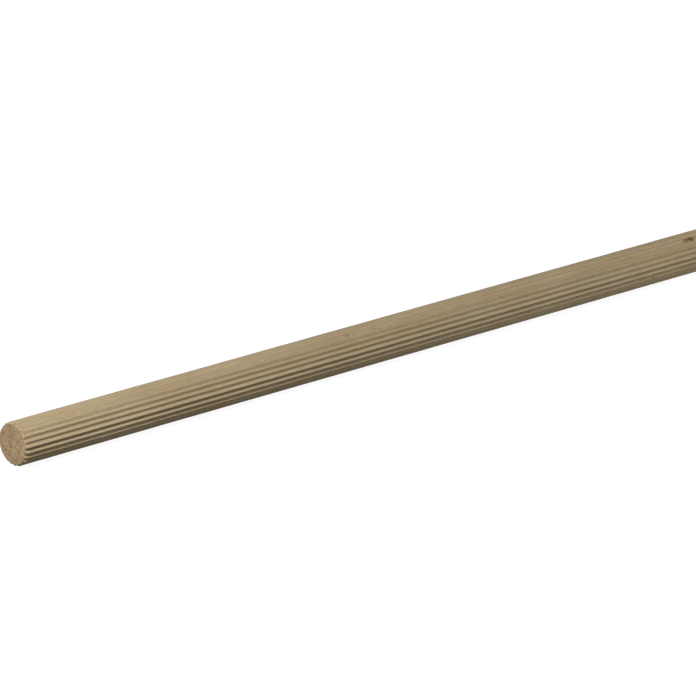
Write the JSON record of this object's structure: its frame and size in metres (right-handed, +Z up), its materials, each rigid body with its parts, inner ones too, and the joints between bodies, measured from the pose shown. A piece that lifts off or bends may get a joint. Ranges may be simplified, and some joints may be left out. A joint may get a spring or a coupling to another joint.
{
  "type": "fluted dowel rod",
  "caption": "Straight round beech rod with fine flutes along its whole length, cut up for glued dowel joints.",
  "frame": {"origin": "on the surface the rod lies on, below the middle of its length", "axes": "+X along the rod from the end shown in the picture to the far end, +Z up, with a flute at the very bottom"},
  "size_m": [1, 0.01, 0.0099],
  "materials": {
    "beech": "bare sanded wood, matt"
  },
  "bodies": {
    "root": {"dowel_rod": "beech"}
  },
  "joints": []
}
